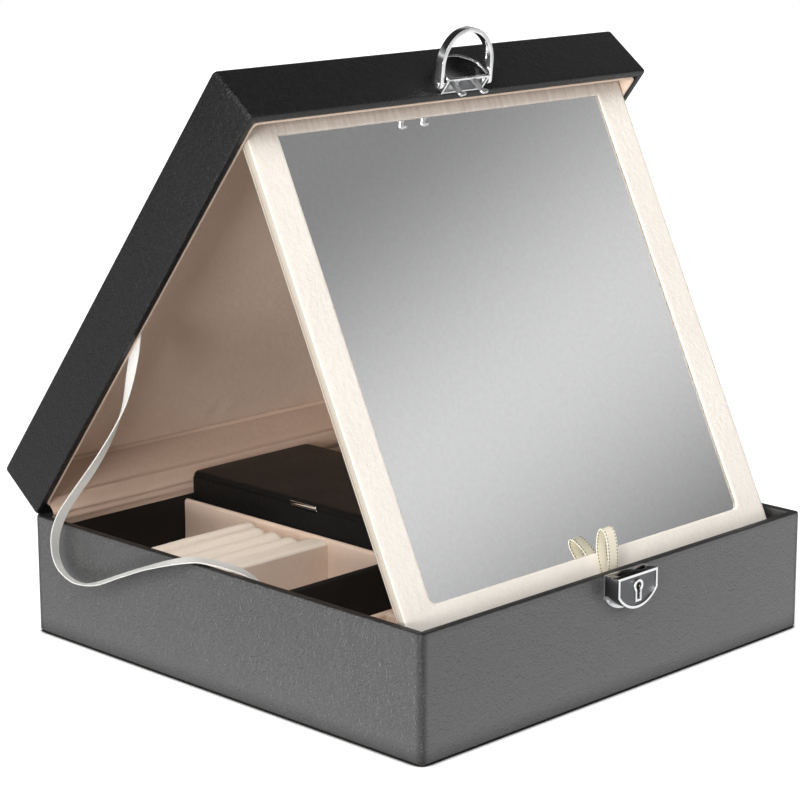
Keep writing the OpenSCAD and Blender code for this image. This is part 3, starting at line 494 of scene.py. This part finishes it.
STAY = [
    ((6.4, 75.5, 111), (0, 1, 0)), ((6.4, 75, 103.8), (0, 1, 0.1)), ((6.3, 74.1, 97.5), (0.05, 1, 0.15)),
    ((6.2, 73.2, 91.9), (0.1, 0.97, 0.22)), ((5.6, 70.4, 80.2), (0.21, 0.95, 0.23)),
    ((4.6, 67, 67.7), (0.53, 0.81, 0.25)), ((3.3, 61.1, 54.6), (0.86, 0.48, 0.16)),
    ((1.6, 53, 41.3), (0.97, 0.26, 0.02)), ((-0.7, 44.6, 29.1), (0.98, 0.15, -0.1)),
    ((-3.3, 36.2, 17.8), (0.99, 0.13, -0.1)), ((-5.1, 28.3, 6.6), (0.99, 0.1, -0.06)),
    ((-5.8, 23.9, -3.5), (0.98, 0.2, 0.01)), ((-6, 23.2, -12.5), (0.92, 0.4, -0.06)),
    ((-6, 25.2, -18.3), (0.88, 0.38, -0.25)), ((-6, 29.3, -22.3), (0.87, 0.25, -0.4)),
    ((-6, 35.6, -24.6), (0.9, 0.1, -0.38)), ((-6, 44, -24.9), (0.97, 0.04, -0.2)),
    ((-5.8, 58.1, -21.1), (0.97, 0.11, 0.18)), ((-5.3, 74.7, -13.9), (0.97, 0.13, 0.2)),
    ((-4.6, 90.8, -7.2), (0.98, 0.1, 0.17)), ((-4.4, 103.7, -2.4), (0.96, 0.14, 0.22)),
    ((-3.4, 113.5, 0.8), (0.93, 0.29, 0.2)), ((-0.8, 118.6, 1.8), (0.88, 0.45, 0.12)),
    ((2, 123.1, 1.9), (0.9, 0.44, 0.02)), ((5.7, 131.9, 1.3), (0.96, 0.28, 0)),
    ((7.7, 142.4, 0.2), (0.98, 0.17, -0.12)), ((8.4, 149.5, -1.3), (0.94, 0.12, -0.32)),
    ((8.2, 155.1, -3.2), (0.86, 0.25, -0.44)), ((7.5, 160, -6.8), (0.5, 0.75, -0.4)),
    ((6.8, 163.7, -11), (0.15, 0.97, -0.25)), ((6.3, 165, -17), (0, 1, 0)),
]
stay_path = smooth([(p[0] - BOX_W / 2, BOX_D / 2 - p[1], BASE_H + p[2]) for p, _ in STAY], 5)
stay_side = smooth([w for _, w in STAY], 5)
stay, stay_len = strap("stay_ribbon_look", stay_path, stay_side, M["ribbon"], "base", curl=0.12,
                       slot="ribbon", ride=False)
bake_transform(stay)
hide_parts("stay_ribbon")

# Base

# Profiles are (inset from the outer face, height)
base_skin = shell("base_leather_look", BOX_W, BOX_D, SKIN_R, [
    (WALL, 51), (WALL, 58.6), (4.4, 59.3), (4.1, 59.75), (3.6, 59.97), (2.4, BASE_H), (1.2, BASE_H), (0.7, 59.97),
    (0.3, 59.8), (0.08, 59.5), (0.02, 59.1), (0.1, 58.75), (0.02, 58.4), (-0.03, 57.9), (0.0, 57.0),
    (0.0, 52.0), (0.0, 30.0), (0.0, 8.0), (0.0, 1.9), (0.12, 1.3), (0.45, 0.85), (0.9, 0.7), (2.0, 0.7)],
    M["base_leather"], "base", slot="outer_leather")
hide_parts("base_leather")
paint("base_carcass", M["board"])
paint("base_bottom_sheet", M["black_cloth"])
dress("base_liner", M["black_velvet"], 0.35)
paint("floor_lining", M["velvet_in"])
for velvet_wall in ("long_divider_left", "long_divider_right", "right_partitions", "front_cross_wall",
                    "front_dividers", "mirror_rest"):
    paint(velvet_wall, M["velvet_in"])
paint("black_partition", M["black_velvet"])
paint("hinge_spine", M["lid_leather"])


def height_field(name, x0, x1, y0, y1, nx, ny, height, foot, material, body, corner=0.0, **kw):
    """A closed block whose top follows height(x, y), with its upright corners rounded."""

    def rounded(v):
        mx, my = min(max(v[0], x0 + corner), x1 - corner), min(max(v[1], y0 + corner), y1 - corner)
        dx, dy = v[0] - mx, v[1] - my
        if not (dx and dy):
            return v
        k = max(abs(dx), abs(dy)) / math.hypot(dx, dy)
        return (mx + dx * k, my + dy * k, v[2])

    verts = [(x, y, height(x, y)) for y in np.linspace(y0, y1, ny) for x in np.linspace(x0, x1, nx)]
    faces = grid(nx, ny)
    rim = ([*range(nx)] + [j * nx + nx - 1 for j in range(1, ny)]
           + [(ny - 1) * nx + i for i in range(nx - 2, -1, -1)] + [j * nx for j in range(ny - 2, 0, -1)])
    base = len(verts)
    verts += [(verts[k][0], verts[k][1], foot) for k in rim]
    for a in range(len(rim)):
        b = (a + 1) % len(rim)
        faces.append((rim[b], rim[a], base + a, base + b))
    faces.append(tuple(range(base + len(rim) - 1, base - 1, -1)))
    if corner:
        verts = [rounded(v) for v in verts]
    return piece(name, verts, faces, material, body, **kw)


def round_edge(d, r):
    """Drop of a rounded edge of radius r at distance d inside it."""
    return 0.0 if d >= r else r - math.sqrt(max(r * r - (r - d) ** 2, 0.0))


# Ring rolls: lip at the back, three rolls with slits, wide block in front
RX0, RX1, RB, RF = -IN_X, -42.5, 77.2, 20.6
ROLL_TOP, ROLL_CORE, PITCH, SLIT, BACK_LIP, FRONT_LIP = 50.0, 41.5, 12.2, 1.0, 6.6, 12.4


def roll_height(x, y):
    soft = (0.22 * noise.noise(Vector((x * 0.05, y * 0.09, 3.1)))
            + 0.1 * noise.noise(Vector((x * 0.21, y * 0.21, 7.7))))
    if y > RB - BACK_LIP:
        d = min(y - (RB - BACK_LIP), RB - y)
        e = RX1 - 1.5 - x
        return max(ROLL_CORE, ROLL_TOP + soft - round_edge(d, 2.6) - (round_edge(e, 3.0) if e > 0 else 20))
    if y < RF + FRONT_LIP:
        d = min(y - RF, RF + FRONT_LIP - y)
        return max(ROLL_CORE, ROLL_TOP + soft - 0.6 * round_edge(d, 3.0) - round_edge(max(RX1 - x + 0.4, 0), 1.2))
    r = (PITCH - SLIT) / 2
    h = ROLL_CORE
    for i in range(3):
        yc = RB - BACK_LIP - SLIT - r - i * PITCH
        dx = max(0.0, x - (RX1 - 3.0 - r), (RX0 + r) - x)
        q = r * r - (y - yc) ** 2 - dx * dx
        if q > 0:
            h = max(h, ROLL_TOP + soft - r + math.sqrt(q))
    return h


rolls = height_field("ring_roll_look", RX0, RX1 - 0.05, RF, RB, 110, 190, roll_height, 5.0, M["velvet_in"],
                     "base", sharp=70, slot="cream_velvet")
# Faces turned up take the lighter copy of the velvet, painted light; the rest keep the insides' shaded copy
rolls.data.materials.append(M["velvet_rolls"])
for p in rolls.data.polygons:
    p.material_index = int(p.normal.z > 0.25)
fix_normals(rolls)
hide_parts("ring_roll_block")


def puff(ob, amount, voxel, frames=14, pressure=4.0):
    """Remeshes a pad and lets cloth with a little inner pressure swell it."""
    cap = amount * MM
    rm = ob.modifiers.new("remesh", "REMESH")
    rm.mode = "VOXEL"
    rm.voxel_size = voxel * MM
    bpy.context.view_layer.objects.active = ob
    with bpy.context.temp_override(object=ob, active_object=ob):
        bpy.ops.object.modifier_apply(modifier=rm.name)
    n = len(ob.data.vertices)
    rest = np.empty(n * 3)
    ob.data.vertices.foreach_get("co", rest)
    rest = rest.reshape(-1, 3)
    cl = ob.modifiers.new("cloth", "CLOTH")
    st = cl.settings
    st.quality = 5
    st.mass = 0.15
    st.use_pressure = True
    st.uniform_pressure_force = pressure
    st.effector_weights.gravity = 0
    st.tension_stiffness = st.compression_stiffness = 12
    st.bending_stiffness = 2
    cl.collision_settings.use_collision = False
    scene = bpy.context.scene
    cl.point_cache.frame_start, cl.point_cache.frame_end = 1, frames
    for f in range(1, frames + 1):
        scene.frame_set(f)
    dg = bpy.context.evaluated_depsgraph_get()
    ev = ob.evaluated_get(dg)
    got = np.empty(n * 3)
    ev.data.vertices.foreach_get("co", got)
    got = got.reshape(-1, 3)
    move = got - rest
    size = np.linalg.norm(move, axis=1, keepdims=True)
    move *= np.minimum(1.0, cap / np.maximum(size, 1e-9))
    ob.modifiers.remove(cl)
    ob.data.vertices.foreach_set("co", (rest + move).ravel())
    scene.frame_set(1)
    sm = ob.modifiers.new("smooth", "SMOOTH")
    sm.factor, sm.iterations = 0.5, 3
    sub = ob.modifiers.new("subdivision", "SUBSURF")
    sub.levels = sub.render_levels = 1
    with bpy.context.temp_override(object=ob, active_object=ob):
        for mod in list(ob.modifiers):
            bpy.ops.object.modifier_apply(modifier=mod.name)
    ob.data.shade_smooth()
    ob.data.update()


# Cushion in the front left corner
cx0, cx1, cy0, cy1 = -IN_X + 0.6, -IN_X + 35.4, -115.6, -70.4


def cushion_height(x, y):
    d = min(x - cx0, cx1 - x, y - cy0, cy1 - y)
    return 44.3 - round_edge(max(d, 0), 4.0)


cushion = height_field("front_cushion_look", cx0, cx1, cy0, cy1, 36, 46, cushion_height, 6.0,
                       M["velvet_in"], "base", ride=False)
fix_normals(cushion)
puff(cushion, 0.9, 1.6)
cushion.data.materials.clear()
cushion.data.materials.append(M["velvet_in"])
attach(cushion, "base")
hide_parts("front_cushion")

# Lid

lid_skin = shell("lid_leather_look", BOX_W, BOX_D, SKIN_R, [
    (WALL, 9.0), (WALL, 1.4), (4.4, 0.7), (4.1, 0.25), (3.6, 0.03), (2.4, 0.0), (1.2, 0.0), (0.75, 0.07),
    (0.35, 0.3), (0.1, 0.7), (0.0, 1.3), (0.0, 15.0), (0.0, 28.9), (0.12, 29.5), (0.45, 30.05), (1.0, 30.4),
    (1.8, LID_H), (6.0, LID_H), (30.0, LID_H)],
    M["lid_leather"], "lid", LID, centre=(0, -BOX_D / 2), cap=True, slot="outer_leather")
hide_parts("lid_leather")
paint("lid_carcass", M["board"])
paint("lid_spine", M["lid_leather"])
paint("lid_magnet", M["steel"])
paint("mirror_keeper", M["steel"])
paint("lid_wall_lining", M["velvet_in"])


# The lid's pad, in the lid's own frame: its edges and the middle of the magnet's dent
PAD_Y0, PAD_Y1 = -262.1, -5.9
DENT = (-9.0, -22.0)


def pad_height(x, y):
    d = max(min(x + IN_X, IN_X - x, y - PAD_Y0, PAD_Y1 - y), 0)
    soft = (0.25 * noise.noise(Vector((x * 0.016, y * 0.016, 1.3)))
            + 0.07 * noise.noise(Vector((x * 0.07, y * 0.05, 5.2))))
    q = math.hypot(x - DENT[0], y - DENT[1])
    dent = 0.5 * math.exp(-(q / 6.0) ** 2) - 0.08 * math.exp(-((q - 8.5) / 2.4) ** 2)
    edge = 0.5 * math.exp(-d / 6.0) + round_edge(d, 1.6)
    return LID_PAD_Z + 0.08 + edge + soft * min(1, d / 8) + dent


def lid_pad():
    n = 120
    xs, ys = np.linspace(-IN_X + 0.15, IN_X - 0.15, n), np.linspace(PAD_Y0 + 0.1, PAD_Y1 - 0.1, n)
    verts = [(x, y, pad_height(x, y)) for y in ys for x in xs]
    return piece("lid_lining_look", verts, grid(n, n, flip=True), M["velvet_in"], "lid", LID, sharp=80,
                 slot="cream_velvet")


pad = lid_pad()
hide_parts("lid_lining_panel")


def hinge_lining():
    """Velvet strip from the lid's rear wall over the joint into the base, with soft ripples."""
    on_lid = ((-6.05, 22.6), (-6.1, 16), (-6.15, 9), (-6.0, 5.4), (-6.9, 3.0), (-6.5, 1.2))
    on_base = ((127.7, 62.6), (127.0, 60.6), (127.9, 58.9), (127.4, 57.0), (128.0, 55.2), (128.1, 53.2))
    pts = [LID @ Vector((0, y, z)) for y, z in on_lid] + [Vector((0, y, z)) for y, z in on_base]
    prof = smooth([(p.y, p.z) for p in pts], 5)
    nx = 90
    verts = []
    for k, (py, pz) in enumerate(prof):
        for x in np.linspace(-IN_X + 0.2, IN_X - 0.2, nx):
            wob = 0.35 * noise.noise(Vector((x * 0.02, k * 0.12, 2.2)))
            verts.append((x, py + wob * 0.6 - 0.1, pz + wob))
    # The strip takes the darker copy of the velvet: painted shade
    ob = piece("hinge_lining_look", verts, grid(nx, len(prof)), M["velvet_strip"], "base", sharp=80,
               ride=False, slot="cream_velvet")
    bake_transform(ob)
    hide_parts("hinge_cloth")


hinge_lining()

# Mirror panel


def panel_rect(inset, z):
    pts = corner_loop(-PANEL_W / 2 + inset, PANEL_W / 2 - inset, inset, PANEL_L - inset,
                      (max(1.5 - inset, 0.4),) * 4)
    return [(x, y, z) for x, y in pts]


def window_rect(grow, z):
    r_top, r_foot = max(0.5 - grow, 0.15), max(4.0 - grow, 0.3)
    pts = corner_loop(-WINDOW_W / 2 - grow, WINDOW_W / 2 + grow, WINDOW_FOOT - grow, WINDOW_TOP + grow,
                      (r_foot, r_foot, r_top, r_top))
    return [(x, y, z) for x, y in pts]


def mirror_frame():
    """The velvet frame, from the window's step over the front and the side with its seam to the back."""
    loops = [window_rect(g, z) for g, z in ((1.9, 1.15), (0.25, 1.15), (0.0, 0.85), (0.12, 0.45), (0.5, 0.12),
                                            (1.2, 0.0))]
    inner, outer = window_rect(2.4, 0.0), panel_rect(2.2, 0.0)
    for f in (0.0, 0.12, 0.3, 0.5, 0.7, 0.88, 1.0):
        loops.append([tuple(a + (b - a) * f for a, b in zip(p, q)) for p, q in zip(inner, outer)])
    loops += [panel_rect(i, z) for i, z in (
        (1.2, 0.05), (0.6, 0.28), (0.2, 0.7), (0.05, 1.2), (0.0, 2.6), (0.06, 2.85), (0.4, 2.98), (0.45, 3.05),
        (0.08, 3.2), (0.0, 3.5), (0.05, 4.0), (0.35, 4.35), (0.9, 4.5))]
    verts, faces = rings(loops)
    faces.append(tuple(range(len(verts) - len(loops[0]), len(verts))))
    ob = piece("mirror_frame_look", verts, faces, M["velvet"], "mirror", PANEL, sharp=60, slot="cream_velvet")
    fix_normals(ob)
    ob.data.materials.append(M["velvet_side"])
    ob.data.materials.append(M["seam"])
    inward = PANEL.inverted()
    out = PANEL.to_3x3() @ Vector((0, 0, 1))
    # Faces on the panel's left side take the darker copy of the velvet, painted shade; the seam's band takes the
    # thread colour
    for p in ob.data.polygons:
        side = abs(p.normal.dot(out)) < 0.75 and p.normal.x < -0.4
        seam = 2.95 < (inward @ (p.center / MM)).z < 3.15
        p.material_index = 2 if seam else 1 if side else 0
    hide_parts("mirror_frame", "mirror_backboard")


mirror_frame()
paint("mirror_glass", M["mirror"])


def mirror_hinge():
    """Velvet that runs from the lid's front wall over the fold onto the panel."""
    lid_pts = [LID @ Vector((0, y, z)) for y, z in ((-262.0, 6.0), (-261.9, 12.0), (-261.8, 16.4))]
    fold = [PANEL @ Vector((0, y, z)) for y, z in ((-0.55, -0.35), (0.3, -0.45), (1.4, -0.18), (3.0, -0.12))]
    prof = smooth([(p.y, p.z) for p in lid_pts + fold], 5)
    nx = 60
    verts = []
    for k, (py, pz) in enumerate(prof):
        for x in np.linspace(-PANEL_W / 2 + 1, PANEL_W / 2 - 1, nx):
            verts.append((x, py, pz + 0.12 * noise.noise(Vector((x * 0.03, k * 0.1, 0.4)))))
    ob = piece("mirror_hinge_look", verts, grid(nx, len(prof)), M["velvet"], "lid", sharp=80, ride=False,
               slot="cream_velvet")
    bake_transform(ob)
    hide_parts("mirror_hinge_cloth")


mirror_hinge()

# Pull loop: points as (up the panel from its foot, in front of the panel)
LOOP = [(1, 0.4), (4.4, 0.6), (8.8, 0.95), (13.5, 1.5), (18.3, 2.8), (22.6, 4.9), (25.7, 7.3), (26.5, 9.2),
        (24.8, 10.6), (20.8, 10.5), (15.6, 9.1), (10.4, 6.9), (6, 4.5), (3, 2.5), (0.6, 1.4)]
LOOP_X = 2.4
loop_path = smooth([(LOOP_X, PANEL_L - a, -b) for a, b in LOOP], 5)
loop, _ = strap("pull_loop_look", loop_path, [np.array((1.0, 0, 0))] * len(loop_path), M["loop"], "mirror",
                PANEL, curl=0.1, slot="ribbon")
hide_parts("pull_loop")

# Travel case

CX0, CX1, CY0, CY1 = -38.7, 44.3, -43.6, 127.4
case_shell = shell("case_shell_look", CX1 - CX0, CY1 - CY0, 3.0, [
    (2.4, 8.0), (2.4, 61.9), (2.2, 62.7), (1.7, 63.0), (0.8, 63.0), (0.3, 62.85), (0.0, 62.3), (0.0, 40.0),
    (0.0, 8.0), (0.3, 5.4), (1.5, 5.05), (20, 5.05)],
    M["case_leather"], "travel_case", centre=((CX0 + CX1) / 2, (CY0 + CY1) / 2), cap=True,
    slot="case_leather")
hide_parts("case_shell")


def case_top(x, y):
    d = max(min(x - CX0, CX1 - x, y - CY0, CY1 - y), 0)
    crown = 0.9 * (1 - math.exp(-d / 14.0))
    soft = 0.06 * noise.noise(Vector((x * 0.05, y * 0.04, 9.1)))
    return 65.6 - round_edge(d, 2.2) * 0.85 + crown + soft


case_cover = height_field("case_cover_look", CX0 + 0.02, CX1 - 0.02, CY0 + 0.02, CY1 - 0.02, 70, 140,
                          case_top, 63.22, M["case_leather"], "travel_case_cover", sharp=60,
                          slot="case_leather", corner=4.0)
fix_normals(case_cover)
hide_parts("case_cover", "case_cover_pad")
paint("case_lining", M["velvet_in"])
paint("case_hinge_roll", M["case_leather"])
dress("case_catch", M["chrome"], 0.15)
dress("case_clasp", M["chrome"], 0.1)

# Metalwork: the lock's sides and the hasp's recessed face are darker than their rims, a dark copy of the chrome
# that paints in a dark reflection

LID_OUT = LID.to_3x3() @ Vector((0, -1, 0))
dress("lock_case", M["chrome"], 0.22, 2, other=M["chrome_painted_shade"],
      where=lambda centre, normal, area: normal.y > -0.6 and area > 2.5)
dress("lock_face", M["lock_grey"], 0.05, 1)
dress("keyhole_escutcheon", M["chrome"], 0.14, 2)
paint("lock_backplate", M["dull_chrome"])
paint("lock_rivets", M["dull_chrome"])
dress("lock_bolt", M["brass"], 0.2)
dress("hasp_cap", M["chrome"], 0.22, 2, other=M["chrome_painted_shade"],
      where=lambda centre, normal, area: normal.dot(LID_OUT) > 0.98 and area > 150)
paint("hasp_backplate", M["dull_chrome"])
paint("hasp_rivets", M["dull_chrome"])
dress("hasp_hooks", M["satin"], 0.2, 2)
dress("ring_pins", M["chrome"], 0.15)
dress("hasp_ring", M["chrome"], 0.5, 3)
paint("stay_tab", M["ribbon"])

# Floor, lights and background

# The floor is pale paper to the camera, grey to the rays that light the object, and in reflections it
# glows with its distance from a point in front of the box; SHADE is the dim spot left of the box
GLOW_AT, SHADE_AT, GLOW_SPAN = (0.28, -0.33), (-0.33, -0.33), 2.0
CONTACT = 0.006
FLOOR_HALF = 3000.0

fl = Mat("floor")
fl.set(Base_Color=(0.6, 0.6, 0.6, 1), Roughness=0.9, Specular_IOR_Level=0.1)
spot = fl.node("ShaderNodeSeparateXYZ", Vector=fl.coords())


def away_from(point):
    return fl.hypot(fl.math("SUBTRACT", spot.outputs["X"], point[0]),
                    fl.math("SUBTRACT", spot.outputs["Y"], point[1]))


glow = fl.ramp(fl.span(away_from(GLOW_AT), 0.0, GLOW_SPAN, 0.0, 1.0),
               (0.26, 1.0), (0.34, 0.86), (0.50, 0.57), (0.66, 0.85), (1.0, 0.7))
mirrored = fl.node("ShaderNodeEmission", Color=glow, Strength=fl.span(away_from(SHADE_AT), 0.12, 0.24, 0.05, 1.0))
# Painted contact shadow: ambient occlusion takes the paper's colour and its glow down to black within a few
# millimetres of the box
nook = fl.node("ShaderNodeAmbientOcclusion", Distance=CONTACT)
lit = fl.ramp(nook.outputs["AO"], (0.50, 0.0), (0.58, 0.3), (0.72, 0.8), (0.9, 1.0))
paper = fl.node("ShaderNodeBsdfDiffuse", Color=lit)
paper_light = fl.node("ShaderNodeEmission", Strength=fl.math("MULTIPLY", lit, 0.5))
looked = fl.node("ShaderNodeAddShader")
fl.put(looked.inputs[0], paper.outputs[0])
fl.put(looked.inputs[1], paper_light.outputs[0])
ray = fl.node("ShaderNodeLightPath")
unseen = fl.mix_shader(ray.outputs["Is Glossy Ray"], fl.bsdf.outputs[0], mirrored.outputs[0])
fl.surface(fl.mix_shader(ray.outputs["Is Camera Ray"], unseen, looked.outputs[0]))
H = FLOOR_HALF
floor = piece("floor", [(-H, -H, 0), (H, -H, 0), (H, H, 0), (-H, H, 0)], [(0, 1, 2, 3)], fl.mat, None,
              ride=False)


def sun(name, direction, strength, angle, color=(1, 1, 1)):
    """A soft lamp that shines from the given direction."""
    data = bpy.data.lights.new(name, "SUN")
    data.energy = strength
    data.angle = math.radians(angle)
    data.color = color
    ob = bpy.data.objects.new(name, data)
    bpy.context.scene.collection.objects.link(ob)
    ob.rotation_euler = Vector(direction).to_track_quat("Z", "Y").to_euler()


sun("side", (-0.92, -0.40, 0.05), 2.9, 18, (1.0, 0.985, 0.965))
sun("high", (-0.60, -0.36, 0.72), 2.1, 36, (1.0, 0.99, 0.975))
sun("front", (-0.10, -0.97, 0.15), 0.25, 45)

world = bpy.data.worlds.new("studio")
bpy.context.scene.world = world
world.use_nodes = True
world.node_tree.nodes.clear()
wt = Nodes(world.node_tree)


def background(color):
    return wt.node("ShaderNodeBackground", Color=color).outputs[0]


# What reflections see, by height: dim near the floor, one bright soft band, dark above
Z_LOW, Z_HIGH = -0.5, 1.0
BAND = ((-0.5, 0.20), (0.10, 0.08), (0.24, 0.09), (0.368, 0.70), (0.47, 0.26), (0.66, 0.03), (1.0, 0.015))
sky = wt.node("ShaderNodeSeparateXYZ", Vector=wt.coords("Generated"))
band = wt.ramp(wt.span(sky.outputs["Z"], Z_LOW, Z_HIGH, 0.0, 1.0),
               *(((z - Z_LOW) / (Z_HIGH - Z_LOW), v) for z, v in BAND), interpolation="EASE")
ray = wt.node("ShaderNodeLightPath")
light = wt.mix_shader(ray.outputs["Is Glossy Ray"], background((0.33, 0.33, 0.33, 1)), background(band))
seen = wt.mix_shader(ray.outputs["Is Camera Ray"], light, background((1, 1, 1, 1)))
wt.node("ShaderNodeOutputWorld", Surface=seen)
bpy.context.scene.view_settings.view_transform = "Standard"
